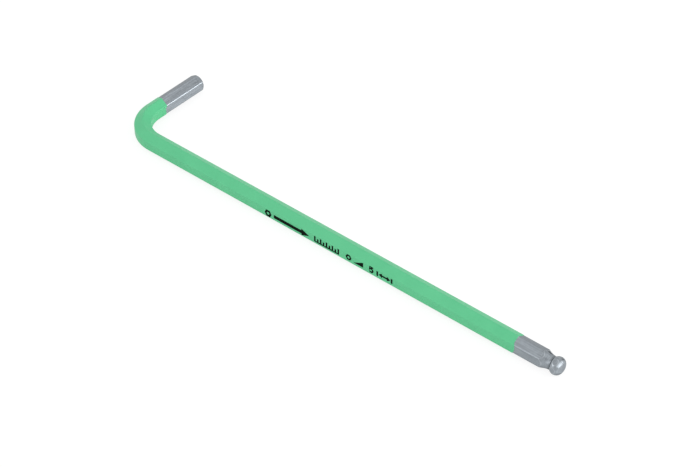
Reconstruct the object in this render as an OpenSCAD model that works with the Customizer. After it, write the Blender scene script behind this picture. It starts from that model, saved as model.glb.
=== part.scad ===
// Long-arm hex key with a ball end and a colour coat, in millimetres
// The key lies flat, as it rests on a bench: the long arm points along +X and the short arm to
// the +Y side. The bar is six-sided, with one edge down and one edge up, and with flats on the
// inside and the outside of its bend. The origin is on the bench, under the middle of the key's
// box. The bar is one piece of steel, and the coat is a skin on it that leaves both ends bare.

/* [Bar] */
// Width across the flats, which is the size of socket that the key turns
flats = 5; // [3:0.5:8]
// Rounding along the six edges of the bare bar
edge_r = 0.35; // [0.1:0.05:0.6]

/* [Arms] */
// Length of the long arm, from the back of the short arm to the ball's flat tip
long_arm = 165; // [90:1:200]
// Length of the short arm, from the back of the long arm to its flat end
short_arm = 33; // [31:1:60]
// Radius of the bend, to the middle of the bar
bend_r = 10.7; // [8:0.1:13]

/* [Short end] */
// Depth of the turned chamfer round the flat end, in the middle of a flat
chamfer_depth = 0.2; // [0.05:0.05:0.4]
// Slope of that chamfer, from the end face
chamfer_slope = 45; // [30:1:60]

/* [Ball end] */
// How far the ball lies inside the bar's rounded edges
ball_relief = 0.15; // [0.05:0.01:0.2]
// Radius of the ball's rounded side, as a share of the ball's own radius: 1 would be a true ball
side_share = 0.67; // [0.6:0.01:0.95]
// Depth of the neck behind the ball, from the ball's widest place
neck_depth = 0.63; // [0.3:0.01:0.9]
// Radius of the rounded groove that leads down to the neck
groove_r = 6.5; // [3:0.1:8]
// Diameter of the flat on the ball's tip
tip_d = 2.8; // [2:0.1:3]

/* [Coat] */
// Thickness of the coat on each flat
coat_t = 0.12; // [0.06:0.02:0.4]
// How much rounder the coat's edges are than the bar's
coat_soften = 0.2; // [0.05:0.05:0.5]
// Bare steel between the coat and the ball's flat tip
long_bare = 15; // [9:0.5:40]
// Bare steel between the coat and the flat end of the short arm
short_bare = 16; // [5:0.5:17]

/* [Hidden] */

// Facets of a full circle in the preview
round_fn = 96;
bend_fn = 240;

// Distance from the middle of a six-sided bar to the top of its rounded edge
function edge_reach(across, rounding) = across / sqrt(3) - rounding * (2 / sqrt(3) - 1);

// The bar with its coat on
coated_flats = flats + 2 * coat_t;
coated_edge_r = edge_r + coat_soften;

// Arms, measured from the point where their middle lines cross
long_reach = long_arm - flats / 2;
short_reach = short_arm - flats / 2;
coat_long_reach = long_reach - long_bare;
coat_short_reach = short_reach - short_bare;

// Ball end, with places along the long arm's middle line
ball_r = edge_reach(flats, edge_r) - ball_relief;
side_r = ball_r * side_share;
side_centre_r = ball_r - side_r;
neck_r = ball_r - neck_depth;
tip_ahead = sqrt(pow(side_r, 2) - pow(tip_d / 2 - side_centre_r, 2));
neck_behind = sqrt(pow(side_r, 2) - pow(neck_r - side_centre_r, 2));
ball_x = long_reach - tip_ahead;
neck_x = ball_x - neck_behind;

// Short end
end_face_r = flats / 2 - chamfer_depth / tan(chamfer_slope);

// Each round corner laps its flats by this much, and the ball laps its neck, so that they cross cleanly
corner_lap = 0.0002;
neck_lap = 0.1;

// A cutter stands this far clear of the bar, and the profiles of the turned ends start this far back
cutter_gap = 1;
turned_r = edge_reach(flats, edge_r) + cutter_gap;

// Middle of the key's box, measured from the point where the arms' middle lines cross
box_middle = [(long_reach - coated_flats / 2) / 2, (short_reach - coated_flats / 2) / 2];
// Height of the bar's middle line, with the coat's lower edge on the bench
bar_z = edge_reach(coated_flats, coated_edge_r);

// Six-sided section with one corner up and one down, and its corners rounded
module hex_section(across, rounding) {
    centre_r = (across / 2 - rounding) * 2 / sqrt(3);
    corners = [for (i = [0:5]) 30 + 60 * i];
    polygon([
        for (a = corners, side = [-30, 30])
            centre_r * [cos(a), sin(a)] + rounding * [cos(a + side), sin(a + side)]
    ]);
    for (a = corners)
        translate(centre_r * [cos(a), sin(a)])
            circle(r = rounding + corner_lap, $fn = round_fn);
}

module steel_section() {
    hex_section(flats, edge_r);
}

module coat_section() {
    difference() {
        hex_section(coated_flats, coated_edge_r);
        steel_section();
    }
}

// Straight part of an arm along +X, from the end of the bend to its reach
module straight(reach) {
    translate([bend_r, 0, 0])
        rotate([90, 0, 90])
            linear_extrude(reach - bend_r)
                children();
}

// Quarter turn that joins the two straight parts
module bend() {
    translate([bend_r, bend_r, 0])
        rotate([0, 0, 180])
            rotate_extrude(angle = 90, $fn = bend_fn)
                translate([bend_r, 0])
                    children();
}

// Turns a profile about the +X axis: its x is the radius and its y the place along the arm
module turned() {
    rotate([0, 90, 0])
        rotate_extrude($fn = round_fn)
            children();
}

// What the lathe leaves at the ball end: the groove, the neck and the ball with its flat tip
module ball_profile() {
    start = bend_r - cutter_gap;
    difference() {
        translate([0, start])
            square([turned_r, neck_x + neck_lap - start]);
        translate([neck_r + groove_r, neck_x])
            circle(r = groove_r, $fn = round_fn);
    }
    intersection() {
        union() {
            translate([side_centre_r, ball_x])
                circle(r = side_r, $fn = round_fn);
            translate([0, ball_x])
                square([side_centre_r, ball_r]);
        }
        translate([0, neck_x - neck_lap])
            square([ball_r, long_reach - neck_x + neck_lap]);
    }
}

// What the lathe leaves at the short end: a flat face with a chamfer round it
module chamfer_profile() {
    start = bend_r - cutter_gap;
    chamfer_run = (turned_r - end_face_r) * tan(chamfer_slope);
    polygon([
        [0, start],
        [turned_r, start],
        [turned_r, short_reach - chamfer_run],
        [end_face_r, short_reach],
        [0, short_reach]
    ]);
}

// Moves the key from the crossing of its arms to its place on the bench
module on_bench() {
    translate([-box_middle.x, -box_middle.y, bar_z])
        children();
}

// The bent steel bar, with the ball turned on its long arm
module hex_key() {
    color([0.60, 0.62, 0.64])
        on_bench()
            union() {
                intersection() {
                    straight(long_reach) steel_section();
                    turned() ball_profile();
                }
                bend() steel_section();
                rotate([0, 0, 90])
                    intersection() {
                        straight(short_reach) steel_section();
                        turned() chamfer_profile();
                    }
            }
}

// The coloured skin over the bend and most of the long arm
module colour_coat() {
    color([0.40, 0.80, 0.58])
        on_bench()
            union() {
                straight(coat_long_reach) coat_section();
                bend() coat_section();
                rotate([0, 0, 90])
                    straight(coat_short_reach) coat_section();
            }
}

hex_key();
colour_coat();
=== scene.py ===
"""Looks for the hex key: its bar, coat and print as fine meshes, their finishes, the light and the camera."""
import math

import bpy
from mathutils import Matrix, Vector, noise


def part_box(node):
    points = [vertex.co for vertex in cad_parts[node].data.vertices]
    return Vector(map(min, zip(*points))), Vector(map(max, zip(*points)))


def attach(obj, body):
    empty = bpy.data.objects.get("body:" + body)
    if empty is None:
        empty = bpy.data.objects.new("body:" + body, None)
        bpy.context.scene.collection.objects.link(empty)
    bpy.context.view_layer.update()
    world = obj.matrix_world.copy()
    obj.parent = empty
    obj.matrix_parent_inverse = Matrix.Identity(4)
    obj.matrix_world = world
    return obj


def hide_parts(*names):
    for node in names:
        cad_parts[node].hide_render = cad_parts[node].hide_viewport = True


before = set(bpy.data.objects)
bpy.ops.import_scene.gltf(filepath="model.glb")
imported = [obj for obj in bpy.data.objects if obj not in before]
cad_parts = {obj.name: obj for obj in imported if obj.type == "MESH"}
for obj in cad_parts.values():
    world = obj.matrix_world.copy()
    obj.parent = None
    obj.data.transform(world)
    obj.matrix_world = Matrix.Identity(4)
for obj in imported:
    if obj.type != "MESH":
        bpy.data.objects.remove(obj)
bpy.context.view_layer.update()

MM = 0.001

# Sizes, in millimetres

FLATS = 5.0
HALF = FLATS / 2
EDGE_R = 0.35
BEND_R = 10.7
COAT_T = 0.12
COAT_SOFTEN = 0.2
BALL_RELIEF = 0.15
SIDE_SHARE = 0.67
NECK_DEPTH = 0.63
GROOVE_R = 6.5
TIP_R = 1.4
CHAMFER_DEPTH = 0.2

COATED_FLATS = FLATS + 2 * COAT_T
COATED_EDGE_R = EDGE_R + COAT_SOFTEN

steel_lo, steel_hi = (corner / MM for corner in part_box("hex_key"))
coat_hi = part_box("colour_coat")[1] / MM

# The arms' middle lines cross at this point, and the reaches are measured from it
CROSSING = Vector((steel_lo.x + HALF, steel_lo.y + HALF, (steel_lo.z + steel_hi.z) / 2))
LONG_REACH = steel_hi.x - CROSSING.x
SHORT_REACH = steel_hi.y - CROSSING.y
COAT_LONG = coat_hi.x - CROSSING.x
COAT_SHORT = coat_hi.y - CROSSING.y


def edge_reach(across, rounding):
    """Distance from the middle of a six-sided bar to the top of its rounded edge."""
    return across / math.sqrt(3) - rounding * (2 / math.sqrt(3) - 1)


REACH = edge_reach(FLATS, EDGE_R)
# A flat is this wide on each side of its middle, and the rounded edge starts at this radius
FLAT_END = (HALF - EDGE_R) / math.sqrt(3)
EDGE_START = math.hypot(HALF, FLAT_END)
BALL_R = REACH - BALL_RELIEF
NECK_R = BALL_R - NECK_DEPTH
# The ball's side is an arc of its own, centred this far from the middle line
SIDE_R = BALL_R * SIDE_SHARE
SIDE_CENTRE_R = BALL_R - SIDE_R
BALL_X = LONG_REACH - math.sqrt(SIDE_R ** 2 - (TIP_R - SIDE_CENTRE_R) ** 2)
NECK_X = BALL_X - math.sqrt(SIDE_R ** 2 - (NECK_R - SIDE_CENTRE_R) ** 2)
END_FACE_R = HALF - CHAMFER_DEPTH


# Sections of the bar

SECTOR = math.radians(30)
# The points lie at these shares of a flat's half, of an edge's rounding and of a turned stretch
ON_FLAT = (0.3, 0.6, 0.8, 0.92, 0.98, 1.0)
ON_EDGE = (1 / 6, 2 / 6, 3 / 6, 4 / 6, 5 / 6, 1.0)
ON_TURNED = (0.04, 0.15, 0.35, 0.6, 0.8, 1.0)
# Creases between a flat and a turned surface are softened over this depth
CREASE = 0.06


def hex_radius(across, rounding, angle):
    """Distance from the middle to a rounded hexagon, at an angle of 0 to 30 degrees from a flat's middle."""
    half = across / 2
    flat_end = (half - rounding) / math.sqrt(3)
    if half * math.tan(angle) <= flat_end:
        return half / math.cos(angle)
    centre = (half - rounding) * 2 / math.sqrt(3)
    off = SECTOR - angle
    return centre * math.cos(off) + math.sqrt(max(rounding ** 2 - (centre * math.sin(off)) ** 2, 0))


def soft_min(a, b, blend):
    """The smaller of two lengths, rounded off where they are close, and how close they are, from 0 to 1."""
    near = max(blend - abs(a - b), 0) / blend
    return min(a, b) - near * near * blend / 4, near


def half_sector(across, rounding, turned):
    """Places (angle, distance, crease) of the section from a flat's middle to an edge's middle, cut by a
    turned radius. The crease is 1 where the flat meets the turned surface."""
    half = across / 2
    flat_end = (half - rounding) / math.sqrt(3)
    centre = (half - rounding) * 2 / math.sqrt(3)

    def angle_on_edge(lean):
        """Angle of the point on the edge's rounding where its surface has turned by lean from the flat."""
        x = centre * math.cos(SECTOR) + rounding * math.cos(lean)
        y = centre * math.sin(SECTOR) + rounding * math.sin(lean)
        return math.atan2(y, x)

    lean_end = SECTOR
    if turned >= edge_reach(across, rounding):
        cut = SECTOR
    elif turned > math.hypot(half, flat_end):
        lean_cosine = (turned ** 2 - centre ** 2 - rounding ** 2) / (2 * centre * rounding)
        lean_end = SECTOR - math.acos(min(lean_cosine, 1))
        cut = angle_on_edge(lean_end)
    elif turned > half:
        flat_end = math.sqrt(turned ** 2 - half ** 2)
        lean_end = 0
        cut = math.atan2(flat_end, half)
    else:
        flat_end = lean_end = cut = 0
    angles = [0.0]
    angles += [math.atan2(flat_end * share, half) for share in ON_FLAT]
    if lean_end:
        angles += [min(angle_on_edge(lean_end * share), SECTOR) for share in ON_EDGE]
    else:
        angles += [angles[-1]] * len(ON_EDGE)
    angles += [cut + (SECTOR - cut) * share for share in ON_TURNED]
    return [(a, *soft_min(hex_radius(across, rounding, a), turned, CREASE)) for a in angles]


# A turned radius that is too large to cut the bar
UNCUT = 1000.0


def section(across, rounding, turned=UNCUT):
    """Points (out, up, crease) round one section, anticlockwise from 30 degrees below the outer flat."""
    half = half_sector(across, rounding, turned)
    points = []
    for sector in range(6):
        middle = 2 * SECTOR * sector
        for angle, radius, crease in half[:0:-1]:
            points.append((middle - angle, radius, crease))
        for angle, radius, crease in half[:-1]:
            points.append((middle + angle, radius, crease))
    return [(r * math.cos(a), r * math.sin(a), crease) for a, r, crease in points]


# Path of the bar

BEND_LENGTH = BEND_R * math.pi / 2


def path(along):
    """Point and outward direction at a distance along the middle line, which is negative on the long arm,
    0 to BEND_LENGTH round the bend, and more on the short arm."""
    if along < 0:
        return Vector((BEND_R - along, 0, 0)), Vector((0, -1, 0))
    if along > BEND_LENGTH:
        return Vector((0, BEND_R + along - BEND_LENGTH, 0)), Vector((-1, 0, 0))
    turn = along / BEND_R
    out = Vector((-math.sin(turn), -math.cos(turn), 0))
    return Vector((BEND_R, BEND_R, 0)) + out * BEND_R, out


def on_long(x):
    """Distance along the path of a place on the long arm."""
    return BEND_R - x


def on_short(y):
    """Distance along the path of a place on the short arm."""
    return BEND_LENGTH + y - BEND_R


def ring(along, points):
    """One ring of a mesh: a section's points and creases at a place on the path, in metres."""
    middle, out = path(along)
    up = Vector((0, 0, 1))
    return [((CROSSING + middle + out * u + up * v) * MM, crease) for u, v, crease in points]


# Points nearer than this are one point, in metres
SAME_PLACE = 1e-8


def loft(name, rings, start_point=None, end_point=None, closed=False):
    """A smooth mesh through the rings. Points that fall together are shared, and empty faces left out."""
    verts, creases, faces, index_rings = [], [], [], []
    for points in rings:
        indices = []
        for point, crease in points:
            if indices and (point - verts[indices[-1]]).length < SAME_PLACE:
                indices.append(indices[-1])
            else:
                verts.append(point)
                creases.append(crease)
                indices.append(len(verts) - 1)
        if (points[-1][0] - points[0][0]).length < SAME_PLACE:
            indices[-1] = indices[0]
        index_rings.append(indices)

    def face(corners):
        kept = [c for i, c in enumerate(corners) if c != corners[i - 1]]
        if len(kept) >= 3:
            faces.append(kept)

    pairs = list(zip(index_rings, index_rings[1:]))
    if closed:
        pairs.append((index_rings[-1], index_rings[0]))
    count = len(index_rings[0])
    for near, far in pairs:
        for i in range(count):
            j = (i + 1) % count
            face([near[i], near[j], far[j], far[i]])
    # Each end is closed by a fan of triangles round its middle
    for point, indices, flip in ((start_point, index_rings[0], True), (end_point, index_rings[-1], False)):
        if point is None:
            continue
        verts.append(point)
        creases.append(0.0)
        middle = len(verts) - 1
        for i in range(count):
            j = (i + 1) % count
            pair = [indices[j], indices[i]] if flip else [indices[i], indices[j]]
            face(pair + [middle])
    mesh = bpy.data.meshes.new(name)
    mesh.from_pydata(verts, [], faces)
    mesh.attributes.new("crease", "FLOAT", "POINT").data.foreach_set("value", creases)
    mesh.validate()
    mesh.shade_smooth()
    piece = bpy.data.objects.new(name, mesh)
    bpy.context.scene.collection.objects.link(piece)
    return piece


# The bar

def corner_points(before, corner, after):
    """Points of a small rounding between two places of a profile, bent towards their corner."""
    steps = 4
    points = []
    for i in range(steps + 1):
        t = i / steps
        a, b, c = (1 - t) ** 2, 2 * t * (1 - t), t * t
        points.append(tuple(a * p + b * q + c * r for p, q, r in zip(before, corner, after)))
    return points


def ball_profile():
    """Places (x, radius) of the turned end, from the flat tip back to the full section."""
    def on_ball(angle):
        return BALL_X + SIDE_R * math.cos(angle), SIDE_CENTRE_R + SIDE_R * math.sin(angle)

    def angle_at(radius):
        return math.asin((radius - SIDE_CENTRE_R) / SIDE_R)

    def on_groove(radius):
        drop = NECK_R + GROOVE_R - radius
        return NECK_X - math.sqrt(max(GROOVE_R ** 2 - drop ** 2, 0)), radius

    # The tip's rim and the neck are rounded over these lengths
    tip_soft, neck_soft = 0.09, 0.13
    tip_angle = angle_at(TIP_R)
    facet_angle = angle_at(HALF)
    neck_angle = math.pi - angle_at(NECK_R)
    # The six round facets reach this far on each side of the ball's widest place
    facet_half = SIDE_R * math.cos(facet_angle)

    profile = [(LONG_REACH, TIP_R * share) for share in (0.15, 0.35, 0.55, 0.75, 0.88)]
    profile += corner_points((LONG_REACH, TIP_R - tip_soft), (LONG_REACH, TIP_R),
                             on_ball(tip_angle + tip_soft / SIDE_R))
    start = tip_angle + tip_soft / SIDE_R
    steps = 12
    profile += [on_ball(start + (facet_angle - start) * i / steps) for i in range(1, steps)]
    steps = 28
    for i in range(steps + 1):
        x = facet_half * math.cos(math.pi * i / steps)
        profile.append((BALL_X + x, SIDE_CENTRE_R + math.sqrt(SIDE_R ** 2 - x * x)))
    end = neck_angle - neck_soft / SIDE_R
    start = math.pi - facet_angle
    steps = 6
    profile += [on_ball(start + (end - start) * i / steps) for i in range(1, steps)]
    first = on_groove(NECK_R + neck_soft ** 2 / (2 * GROOVE_R))
    profile += corner_points(on_ball(end), (NECK_X, NECK_R), first)
    # Up the groove: even steps to the flats' middles, then by the width of the flat that is left
    flats_behind = math.sqrt(GROOVE_R ** 2 - (NECK_R + GROOVE_R - HALF) ** 2)
    first_behind = NECK_X - first[0]
    steps = 16
    for i in range(1, steps):
        behind = first_behind + (flats_behind - first_behind) * i / steps
        profile.append((NECK_X - behind, NECK_R + GROOVE_R - math.sqrt(GROOVE_R ** 2 - behind * behind)))
    steps = 14
    for i in range(steps + 1):
        profile.append(on_groove(math.hypot(HALF, FLAT_END * i / steps)))
    steps = 6
    for i in range(1, steps + 1):
        profile.append(on_groove(EDGE_START + (REACH + CREASE - EDGE_START) * i / steps))
    return profile


BALL_PROFILE = ball_profile()
# The turned end begins at this place on the long arm
GROOVE_START = BALL_PROFILE[-1][0]


def chamfer_profile():
    """Places (y, radius) of the short end, from the full section to the middle of the flat end."""
    def on_chamfer(radius):
        return SHORT_REACH - (radius - END_FACE_R), radius

    # The flat end's rim is rounded over this length
    rim = 0.06
    outermost = REACH + CREASE
    steps = 6
    profile = [on_chamfer(outermost - (outermost - EDGE_START) * i / steps) for i in range(steps)]
    steps = 14
    for i in range(steps + 1):
        profile.append(on_chamfer(math.hypot(HALF, FLAT_END * (1 - i / steps))))
    profile.append(on_chamfer((HALF + END_FACE_R + rim) / 2))
    before = on_chamfer(END_FACE_R + rim * 0.7)
    profile += corner_points(before, (SHORT_REACH, END_FACE_R), (SHORT_REACH, END_FACE_R - rim))
    profile += [(SHORT_REACH, END_FACE_R * share) for share in (0.9, 0.7, 0.5, 0.3, 0.12)]
    return profile


def make_bar():
    """The whole bar, lofted from the ball's tip round the bend to the short end."""
    full = section(FLATS, EDGE_R)
    rings = []
    for x, radius in BALL_PROFILE:
        rings.append(ring(on_long(x), section(FLATS, EDGE_R, radius)))
    steps = 10
    for i in range(1, steps + 1):
        x = GROOVE_START + (BEND_R - GROOVE_START) * i / steps
        rings.append(ring(on_long(x), full))
    steps = 48
    for i in range(1, steps + 1):
        rings.append(ring(BEND_LENGTH * i / steps, full))
    chamfer = chamfer_profile()
    steps = 4
    for i in range(1, steps):
        y = BEND_R + (chamfer[0][0] - BEND_R) * i / steps
        rings.append(ring(on_short(y), full))
    for y, radius in chamfer:
        rings.append(ring(on_short(y), section(FLATS, EDGE_R, radius)))
    tip = (CROSSING + Vector((LONG_REACH, 0, 0))) * MM
    end = (CROSSING + Vector((0, SHORT_REACH, 0))) * MM
    return loft("bar", rings, tip, end)


# The coat

def share_of(value, low, high):
    """How far a value has come from low to high, from 0 to 1."""
    return min(max((value - low) / (high - low), 0), 1)


def wander(along, u, v):
    """How far the coat's end moves along the bar at a point of the section, u outwards and v up."""
    on_long_arm = along < 0
    unevenness, patches, seed = 0.08, 0.55, 3.1 if on_long_arm else 8.4
    uneven = unevenness * noise.noise(Vector((u * patches, v * patches, seed)))
    if on_long_arm:
        # The end reaches towards the ball on the outer flat, and draws back underneath
        slant = 0.13 + 0.5 * (share_of(u, 1.8, 2.5) - share_of(-v, 0.4, 1.3))
    else:
        # The end slants forward on the outer side, and draws back on the inner flat
        drawn_back = 0.5 * share_of(-u, 2.2, 2.45) * share_of(-v, -1.25, -0.8)
        slant = -0.42 * max(u, 0) + 0.08 * max(-u, 0) + drawn_back
    return uneven - slant


def make_coat():
    """A closed skin with a soft lip at both ends, which slant and wander as a masked edge does."""
    # The points of both sections lie at the same shares of each flat and rounding
    inner = section(FLATS, EDGE_R)
    outer = section(COATED_FLATS, COATED_EDGE_R)
    start, end = on_long(COAT_LONG), on_short(COAT_SHORT)
    # The coat rises to its full thickness over the lip. Behind the lip the wandering fades out, on the long
    # arm over the taper and on the short arm up to the bend.
    lip, taper, lip_steps, lip_start = 0.22, 3.0, 8, 0.12
    lip_rises = [lip_start + (1 - lip_start) * math.sqrt(1 - (1 - i / lip_steps) ** 2)
                 for i in range(lip_steps + 1)]
    taper_steps, long_steps, bend_steps, short_steps = 4, 24, 48, 4
    # Each place holds its distance along the bar, the share of the thickness, and how much it wanders
    places = [(start + lip * i / lip_steps, rise, 1) for i, rise in enumerate(lip_rises)]
    places += [(start + lip + taper * i / taper_steps, 1, 1 - i / taper_steps)
               for i in range(1, taper_steps + 1)]
    places += [((start + lip + taper) * (1 - i / long_steps), 1, 0) for i in range(1, long_steps)]
    places += [(BEND_LENGTH * i / bend_steps, 1, 0) for i in range(bend_steps + 1)]
    places += [(BEND_LENGTH + (end - lip - BEND_LENGTH) * i / short_steps, 1, i / short_steps)
               for i in range(1, short_steps)]
    places += [(end - lip * (1 - i / lip_steps), rise, 1) for i, rise in enumerate(reversed(lip_rises))]

    # The rings run along the outer skin to the short arm, and back along the inner skin
    rings = []
    for step, around in ((1, outer), (-1, inner)):
        for along, rise, loose in places[::step]:
            points = []
            for a, b in zip(inner, around):
                u, v = a[0] + (b[0] - a[0]) * rise, a[1] + (b[1] - a[1]) * rise
                middle, out = path(along + (wander(along, u, v) * loose if loose else 0))
                points.append(((CROSSING + middle + out * u + Vector((0, 0, v))) * MM, 0.0))
            rings.append(points)
    return loft("coat", rings, closed=True)


# Materials

class Nodes:
    """Short ways to build a node tree. Nearly all of them give back the output of the node that they add."""

    def __init__(self, tree):
        self.tree = tree
        tree.nodes.clear()

    def put(self, socket, value):
        if isinstance(value, bpy.types.NodeSocket):
            self.tree.links.new(value, socket)
        else:
            socket.default_value = value

    def add(self, kind, inputs=None, **settings):
        made = self.tree.nodes.new(kind)
        for name, value in settings.items():
            setattr(made, name, value)
        for name, value in (inputs or {}).items():
            self.put(made.inputs[name], value)
        return made.outputs

    def math(self, operation, a, b=0.0):
        return self.add("ShaderNodeMath", {0: a, 1: b}, operation=operation)[0]

    def weighted(self, a, share_a, b, share_b):
        return self.math("ADD", self.math("MULTIPLY", a, share_a), self.math("MULTIPLY", b, share_b))

    def ramp(self, value, low, high, to_low=0.0, to_high=1.0):
        return self.add("ShaderNodeMapRange", {"Value": value, "From Min": low, "From Max": high,
                                               "To Min": to_low, "To Max": to_high})[0]

    def mix(self, factor, a, b):
        return self.add("ShaderNodeMix", {"Factor": factor, "A": a, "B": b}, data_type="FLOAT")[0]

    def tint(self, factor, a, b):
        # The colour sockets of this node stand behind the ones for numbers and vectors
        return self.add("ShaderNodeMix", {0: factor, 6: a, 7: b}, data_type="RGBA")[2]

    def place(self):
        return self.add("ShaderNodeTexCoord")["Object"]

    def parts(self, vector):
        return self.add("ShaderNodeSeparateXYZ", {"Vector": vector})

    def noise(self, vector, scale, detail):
        return self.add("ShaderNodeTexNoise", {"Vector": vector, "Scale": scale, "Detail": detail})["Fac"]

    def bump(self, height, strength, distance):
        return self.add("ShaderNodeBump", {"Strength": strength, "Distance": distance, "Height": height})[0]

    def surface(self, colour, rough, bump, others):
        inputs = {"Base Color": colour, "Roughness": rough, "Normal": bump}
        return self.add("ShaderNodeBsdfPrincipled", {**inputs, **others})[0]

    def glow(self, kind, colour, strength):
        return self.add(kind, {"Color": colour, "Strength": strength})[0]

    def diffuse(self, colour):
        return self.add("ShaderNodeBsdfDiffuse", {"Color": colour})[0]

    def choose(self, factor, a, b):
        return self.add("ShaderNodeMixShader", {0: factor, 1: a, 2: b})[0]

    def rays(self):
        """Two factors: 1 for a ray from the camera, and 1 for a reflected or refracted ray."""
        kinds = self.add("ShaderNodeLightPath")
        mirrored = self.math("MAXIMUM", kinds["Is Glossy Ray"], kinds["Is Transmission Ray"])
        return kinds["Is Camera Ray"], mirrored

    def finish(self, shader, kind="ShaderNodeOutputMaterial"):
        self.add(kind, {"Surface": shader})


def new_material(name):
    material = bpy.data.materials.new(name)
    material.use_nodes = True
    return material, Nodes(material.node_tree)


def grey(level):
    return level, level, level, 1


def steel_material():
    """Satin nickel-plated steel: drawn streaks along both arms, fine turning marks on the ball end, brighter
    creases that are partly worn plating and partly a painted highlight, and painted shade in the neck."""
    dark, light = (0.286, 0.315, 0.342, 1), (0.438, 0.482, 0.522, 1)
    worn_and_highlight_bright, neck_painted_shade = (0.52, 0.56, 0.60, 1), (0.10, 0.11, 0.12, 1)
    neck_shade_x = (CROSSING.x + NECK_X - 0.12) * MM
    turned_from = (CROSSING.x + GROOVE_START) * MM
    # The drawn streaks give way to turning marks over this length
    turned_blend = 0.0006
    material, n = new_material("bare_steel")
    place = n.place()
    x = n.parts(place)["X"]
    on_long_arm = n.math("GREATER_THAN", x, 0.0)
    on_turned = n.ramp(x, turned_from, turned_from + turned_blend)

    def stretched(scale, detail):
        coords = n.add("ShaderNodeMapping", {"Vector": place, "Scale": scale})[0]
        return n.noise(coords, 1.0, detail)

    def drawn(along, across, detail):
        """Streaks along both arms, from the noise's scales along and across them."""
        on_long_one = stretched((along, across, across), detail)
        on_short_one = stretched((across, along, across), detail)
        return n.mix(on_long_arm, on_short_one, on_long_one)

    streaks = drawn(110, 2600, 4)
    fine_streaks = drawn(420, 16000, 2)
    rings = stretched((14000, 500, 500), 3)
    blotch = stretched((900, 900, 900), 3)
    grain = n.mix(on_turned, streaks, rings)
    fine_grain = n.mix(on_turned, fine_streaks, rings)
    bump = n.bump(n.weighted(grain, 0.7, fine_grain, 0.3), 0.35, 0.00001)
    # The turned end is smoother than the drawn arms
    rough = n.ramp(n.weighted(grain, 0.6, blotch, 0.4), 0.3, 0.7, 0.26, 0.40)
    rough = n.math("SUBTRACT", rough, n.math("MULTIPLY", on_turned, 0.16))
    colour = n.tint(n.ramp(n.weighted(grain, 0.7, blotch, 0.3), 0.32, 0.68), dark, light)
    # Partly worn plating and partly a painted highlight: the colour is brightened along the creases
    crease = n.add("ShaderNodeAttribute", attribute_name="crease")["Fac"]
    wear_and_highlight = n.math("MULTIPLY", n.math("POWER", crease, 0.6), n.ramp(blotch, 0.35, 0.6, 0.5, 1.0))
    colour = n.tint(wear_and_highlight, colour, worn_and_highlight_bright)
    # Painted shade: the colour is darkened in a narrow band at the neck, where the hollow lies in shade
    from_neck = n.math("ABSOLUTE", n.math("SUBTRACT", x, neck_shade_x))
    colour = n.tint(n.ramp(from_neck, 0.00015, 0.0005, 0.45, 0.0), colour, neck_painted_shade)
    # Satin plating reflects no more at a grazing angle than face on
    n.finish(n.surface(colour, rough, bump, {"Metallic": 1.0, "Specular Tint": grey(0.70)}))
    return material


def coat_material():
    """Mint green sprayed coat: satin, with a fine orange peel and a faint unevenness of colour."""
    deep, pale = (0.082, 0.514, 0.238, 1), (0.099, 0.558, 0.262, 1)
    material, n = new_material("green_coat")
    place = n.place()
    peel = n.noise(place, 2200, 2)
    speck = n.noise(place, 9000, 2)
    cloud = n.noise(place, 160, 3)
    bump = n.bump(n.weighted(peel, 0.8, speck, 0.2), 0.20, 0.00003)
    colour = n.tint(n.ramp(n.weighted(cloud, 0.7, speck, 0.3), 0.3, 0.7), deep, pale)
    rough = n.ramp(peel, 0.3, 0.7, 0.48, 0.58)
    n.finish(n.surface(colour, rough, bump, {"Specular IOR Level": 0.65, "Sheen Weight": 0.25,
                                             "Sheen Roughness": 0.3}))
    return material


def print_material():
    """Black pad print, a little thin in places."""
    black, thin = (0.002, 0.004, 0.002, 1), (0.006, 0.016, 0.009, 1)
    material, n = new_material("black_print")
    patch = n.noise(n.place(), 3500, 3)
    colour = n.tint(n.ramp(patch, 0.35, 0.75), black, thin)
    rough = n.ramp(patch, 0.3, 0.7, 0.55, 0.7)
    bump = n.bump(patch, 0.2, 0.00001)
    n.finish(n.surface(colour, rough, bump, {"Specular IOR Level": 0.03}))
    return material


def floor_material():
    """Pale floor: white to the camera but for a faint shadow close to the key, and grey to reflections."""
    material, n = new_material("pale_floor")
    lit = n.diffuse(n.tint(n.noise(n.place(), 900, 2), grey(0.88), grey(0.90)))
    camera_ray, mirror_ray = n.rays()
    # The little diffuse light brings the glow to white, and it is what the shadow takes away
    white = n.add("ShaderNodeAddShader", {0: n.glow("ShaderNodeEmission", grey(1), 0.85),
                                          1: n.diffuse(grey(0.19))})[0]
    # Reflections see half of the lit floor and half of an even grey
    even_grey = n.glow("ShaderNodeEmission", grey(0.76), 1.0)
    others = n.choose(n.math("MULTIPLY", mirror_ray, 0.5), lit, even_grey)
    n.finish(n.choose(camera_ray, others, white))
    return material


# The print

PRINT_RAISE = 0.012
PRINT_SINK = 0.004


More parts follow.
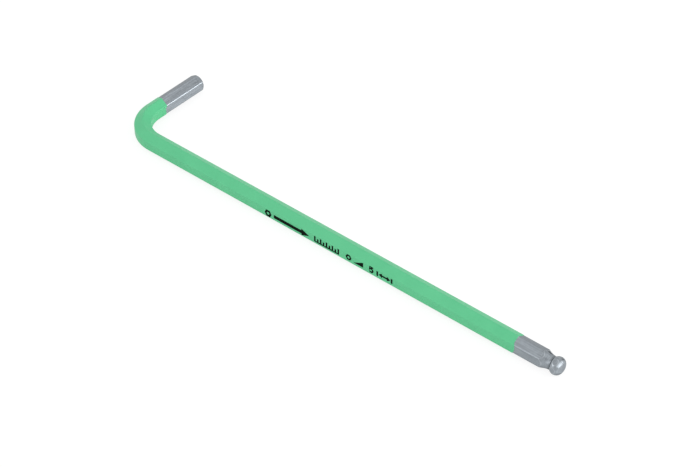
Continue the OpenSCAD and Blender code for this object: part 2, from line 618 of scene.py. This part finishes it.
class Marks:
    """Plain black marks on the long arm's outer flat, at places along the arm (x) and up the flat (v)."""

    def __init__(self):
        self.verts, self.faces = [], []

    def shape(self, outline, hole=None):
        """A thin raised patch, or a band between an outline and a hole with as many points as it."""
        count = len(outline)
        rings = [outline] if hole is None else [outline, hole]
        first = len(self.verts)
        for raised in (PRINT_RAISE, -PRINT_SINK):
            for points in rings:
                for x, v in points:
                    place = CROSSING + Vector((x, -COATED_FLATS / 2 - raised, v))
                    self.verts.append(place * MM)
        level = count * len(rings)
        for i in range(count):
            j = (i + 1) % count
            a, b = first + i, first + j
            self.faces.append((a, a + level, b + level, b))
            if hole is not None:
                c, d = a + count, b + count
                self.faces.append((c, d, d + level, c + level))
                self.faces.append((a, b, d, c))
                self.faces.append((a + level, c + level, d + level, b + level))
        if hole is None:
            self.faces.append(tuple(range(first, first + count)))
            self.faces.append(tuple(range(first + 2 * count - 1, first + count - 1, -1)))

    def bar(self, x, v, width, height):
        w, h = width / 2, height / 2
        self.shape([(x - w, v - h), (x + w, v - h), (x + w, v + h), (x - w, v + h)])

    def nut(self, x, v, size, hole):
        """A six-sided shape with a corner at each end and a round hole."""
        steps = 36
        turns = [2 * math.pi * i / steps for i in range(steps)]
        sides = [size * math.cos(math.pi / 6) / math.cos(t % (math.pi / 3) - math.pi / 6) for t in turns]
        self.shape([(x + r * math.cos(t), v + r * math.sin(t)) for r, t in zip(sides, turns)],
                   [(x + hole * math.cos(t), v + hole * math.sin(t)) for t in turns])

    def arrow(self, left, right, v, head, half_height, shaft, both_ends=False):
        """A level arrow that points right, or both ways."""
        outline = [(right - head, v - shaft / 2), (right - head, v - half_height), (right, v),
                   (right - head, v + half_height), (right - head, v + shaft / 2)]
        if both_ends:
            outline += [(left + right - x, h) for x, h in reversed(outline)]
        else:
            outline += [(left, v + shaft / 2), (left, v - shaft / 2)]
        self.shape(outline)

    def stroke(self, points, width):
        """A line of even width through the points, with its corners mitred."""
        # The mitre of a very sharp corner is held back by this smallest cosine
        least = 0.4
        left, right = [], []
        steps = [Vector((x1 - x0, v1 - v0)).normalized() for (x0, v0), (x1, v1) in zip(points, points[1:])]
        for (x, v), before, after in zip(points, steps[:1] + steps, steps + steps[-1:]):
            side = Vector((-(before + after).y, (before + after).x)).normalized()
            reach = width / 2 / max(side.dot(Vector((-before.y, before.x))), least)
            left.append((x + side.x * reach, v + side.y * reach))
            right.append((x - side.x * reach, v - side.y * reach))
        self.shape(right + left[::-1])

    def finish(self, name):
        mesh = bpy.data.meshes.new(name)
        mesh.from_pydata(self.verts, [], self.faces)
        mesh.validate()
        piece = bpy.data.objects.new(name, mesh)
        bpy.context.scene.collection.objects.link(piece)
        return piece


def make_print():
    """Generic marks: a nut, an arrow towards the ball, a graduated scale, a tilt sign, and the size."""
    marks = Marks()
    # The nut and the arrow, the boldest of them
    marks.nut(x=59.2, v=-0.05, size=1.35, hole=0.46)
    marks.arrow(left=61.4, right=75.0, v=-0.05, head=3.0, half_height=1.2, shaft=1.2)
    # The scale: a base line, and long and short lines in turn
    marks.bar(x=81.5, v=-0.66, width=9.4, height=0.44)
    first_line, line_gap = 77.1, 1.1
    for i in range(9):
        v, height = (0.05, 1.0) if i % 2 else (0.35, 1.6)
        marks.bar(first_line + line_gap * i, v, width=0.6, height=height)
    # The tilt sign: a small nut and a wedge
    marks.nut(x=89.7, v=0.22, size=1.1, hole=0.42)
    marks.shape([(91.5, -0.64), (95.1, -0.64), (95.1, 1.12)])
    # The size: the number 5, and the sign for a width between two faces
    bowl_x, bowl_width, bowl_height = 97.95, 0.66, 0.60
    bowl_turns = [math.radians(degrees) for degrees in range(125, -146, -30)]
    bowl = [(bowl_x + bowl_width * math.cos(turn), bowl_height * math.sin(turn)) for turn in bowl_turns]
    marks.stroke([(98.75, 1.12), (97.6, 1.12), (97.5, 0.42)] + bowl, width=0.56)
    marks.bar(x=100.25, v=0.13, width=0.62, height=1.7)
    marks.arrow(left=100.75, right=104.95, v=0.13, head=1.2, half_height=0.84, shaft=0.62, both_ends=True)
    marks.bar(x=105.45, v=0.13, width=0.62, height=1.7)
    return marks.finish("print_marks")


# The pieces

def dress(piece, material, slot, *replaced):
    """Gives a piece its material, hangs it on the root body, and hides the nodes of the solid that it
    replaces, if any. The slot is not used.
    """
    piece.data.materials.append(material)
    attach(piece, "root")
    if replaced:
        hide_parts(*replaced)


bar = make_bar()
dress(bar, steel_material(), "bare_steel", "hex_key")
dress(make_coat(), coat_material(), "green_coat", "colour_coat")
dress(make_print(), print_material(), "green_coat")


# The stage, the light and the camera

def make_floor():
    mesh = bpy.data.meshes.new("floor")
    half = 4.0
    corners = [(-half, -half, 0), (half, -half, 0), (half, half, 0), (-half, half, 0)]
    mesh.from_pydata(corners, [], [(0, 1, 2, 3)])
    floor = bpy.data.objects.new("floor", mesh)
    bpy.context.scene.collection.objects.link(floor)
    mesh.materials.append(floor_material())


def make_world():
    """White to the camera. Reflections see a pale tent with a window, brighter panels and a dark gap at the
    back, and all other rays see a plain light that is stronger from the front."""
    world = bpy.data.worlds.new("studio")
    bpy.context.scene.world = world
    world.use_nodes = True
    n = Nodes(world.node_tree)
    direction = n.add("ShaderNodeTexCoord")["Generated"]
    x, y, z = n.parts(direction)
    # The tent's level by height, from the horizon and below at 0 to straight up at 1
    stops = ((0.0, 0.80), (0.2, 0.80), (0.36, 0.76), (0.64, 0.76), (0.83, 0.66), (0.93, 0.86), (1.0, 0.92))
    tent = n.add("ShaderNodeValToRGB", {"Fac": z})[0]
    elements = tent.node.color_ramp.elements
    for i, (height, level) in enumerate(stops):
        if i < len(elements):
            elements[i].position = height
        else:
            elements.new(height)
        elements[i].color = grey(level)
    # A bright window beyond the ball, brightest straight along the arm, with a side edge and a slanting sill
    window = n.math("MULTIPLY", n.math("POWER", n.ramp(x, 0.36, 1.0), 1.5), n.ramp(y, 0.75, 0.66))
    window = n.math("MULTIPLY", window, n.ramp(n.math("ADD", z, n.math("MULTIPLY", y, 0.6)), -0.20, -0.11))
    tent = n.tint(window, tent, grey(2.4))
    # Each panel has a direction, the two angles from it between which it fades into the tent, and a level
    panels = (((0.02, 0.44, 0.90), 4, 14, 1.0), ((-0.46, -0.84, 0.28), 14, 28, 1.25),
              ((-0.02, 0.99, 0.10), 12, 18, 0.02))
    for towards, inner, outer, level in panels:
        near = n.add("ShaderNodeVectorMath", {0: direction, 1: Vector(towards).normalized()},
                     operation="DOT_PRODUCT")["Value"]
        part = n.ramp(near, math.cos(math.radians(outer)), math.cos(math.radians(inner)))
        tent = n.tint(part, tent, grey(level))
    light = n.glow("ShaderNodeBackground", grey(1), n.ramp(y, -1, 1, 0.97, 0.66))
    mirrored = n.glow("ShaderNodeBackground", tent, 1.0)
    seen = n.glow("ShaderNodeBackground", grey(1), 1.0)
    camera_ray, mirror_ray = n.rays()
    n.finish(n.choose(camera_ray, n.choose(mirror_ray, light, mirrored), seen), "ShaderNodeOutputWorld")


def make_light(name, direction, distance, size, power, spread=180, aim=(0, 0, 0), mirrored=True):
    """A soft lamp that looks at a place from a direction. Reflections see it only if it is mirrored."""
    data = bpy.data.lights.new(name, "AREA")
    data.shape = "RECTANGLE"
    data.size, data.size_y = size
    data.energy = power
    data.spread = math.radians(spread)
    lamp = bpy.data.objects.new(name, data)
    bpy.context.scene.collection.objects.link(lamp)
    towards = Vector(direction).normalized()
    lamp.location = Vector(aim) + towards * distance
    lamp.rotation_mode = "QUATERNION"
    lamp.rotation_quaternion = (-towards).to_track_quat("-Z", "Y")
    lamp.visible_camera = False
    lamp.visible_glossy = mirrored
    return lamp


def make_card(name, x_range, y_range, radiance):
    """A pale card on the floor, which only reflections see. Its ranges start from the arms' crossing."""
    lift = 0.0001
    data = bpy.data.lights.new(name, "AREA")
    data.shape = "RECTANGLE"
    data.size, data.size_y = (x_range[1] - x_range[0]) * MM, (y_range[1] - y_range[0]) * MM
    data.energy = radiance * math.pi * data.size * data.size_y
    card = bpy.data.objects.new(name, data)
    bpy.context.scene.collection.objects.link(card)
    middle = CROSSING + Vector((sum(x_range) / 2, sum(y_range) / 2, 0))
    card.location = (middle.x * MM, middle.y * MM, lift)
    card.rotation_euler = (math.pi, 0, 0)
    card.visible_camera = card.visible_diffuse = False


def make_camera():
    """The camera fitted to the photo: its place in millimetres, and its focal length and shifts in pixels."""
    photo_width, sensor_width = 700, 36.0
    azimuth, elevation, roll = math.radians(40.906), math.radians(40.047), math.radians(-0.370)
    distance, focal = 653.605, 2297.5
    shift_right, shift_up = 0.22, -0.50
    target = CROSSING + Vector((82.874, 5.861, 0))
    back = Vector((math.sin(azimuth) * math.cos(elevation), -math.cos(azimuth) * math.cos(elevation),
                   math.sin(elevation)))
    right = Vector((math.cos(azimuth), math.sin(azimuth), 0))
    up = back.cross(right)
    across = right * math.cos(roll) + up * math.sin(roll)
    upward = up * math.cos(roll) - right * math.sin(roll)
    data = bpy.data.cameras.new("camera")
    data.sensor_fit = "HORIZONTAL"
    data.sensor_width = sensor_width
    data.lens = focal / photo_width * sensor_width
    data.shift_x, data.shift_y = shift_right / photo_width, shift_up / photo_width
    data.clip_start, data.clip_end = 0.01, 20.0
    camera = bpy.data.objects.new("camera", data)
    bpy.context.scene.collection.objects.link(camera)
    rotation = Matrix((across, upward, back)).transposed().to_4x4()
    camera.matrix_world = Matrix.Translation((target + back * distance) * MM) @ rotation
    bpy.context.scene.camera = camera


make_floor()
make_world()
make_light("key_light", (0.74, -0.22, 0.62), distance=1.2, size=(0.9, 0.9), power=2.3, mirrored=False)
make_light("fill_light", (-0.5, -0.62, 0.62), distance=1.2, size=(0.8, 0.8), power=1.1)
make_light("side_light", (0.84, 0.46, 0.27), distance=0.9, size=(0.40, 0.6), power=2.7, mirrored=False)
# A narrow lamp that lights only the steel, aimed at the short arm
edge_light = make_light("edge_light", (0.79, 0.53, 0.31), distance=0.35, size=(0.12, 0.24), power=0.028,
                        spread=40, aim=(CROSSING + Vector((0, 23, 0))) * MM)
steel_only = bpy.data.collections.new("steel_only")
steel_only.objects.link(bar)
edge_light.light_linking.receiver_collection = steel_only
make_card("bend_card", (3.5, 30.0), (4.0, 32.0), radiance=0.25)
make_card("tip_card", (163.5, 180.0), (-6.0, 16.0), radiance=0.18)
make_card("ball_card", (192.0, 500.0), (-10.0, 80.0), radiance=1.2)
make_camera()
bpy.context.scene.view_settings.view_transform = "Standard"
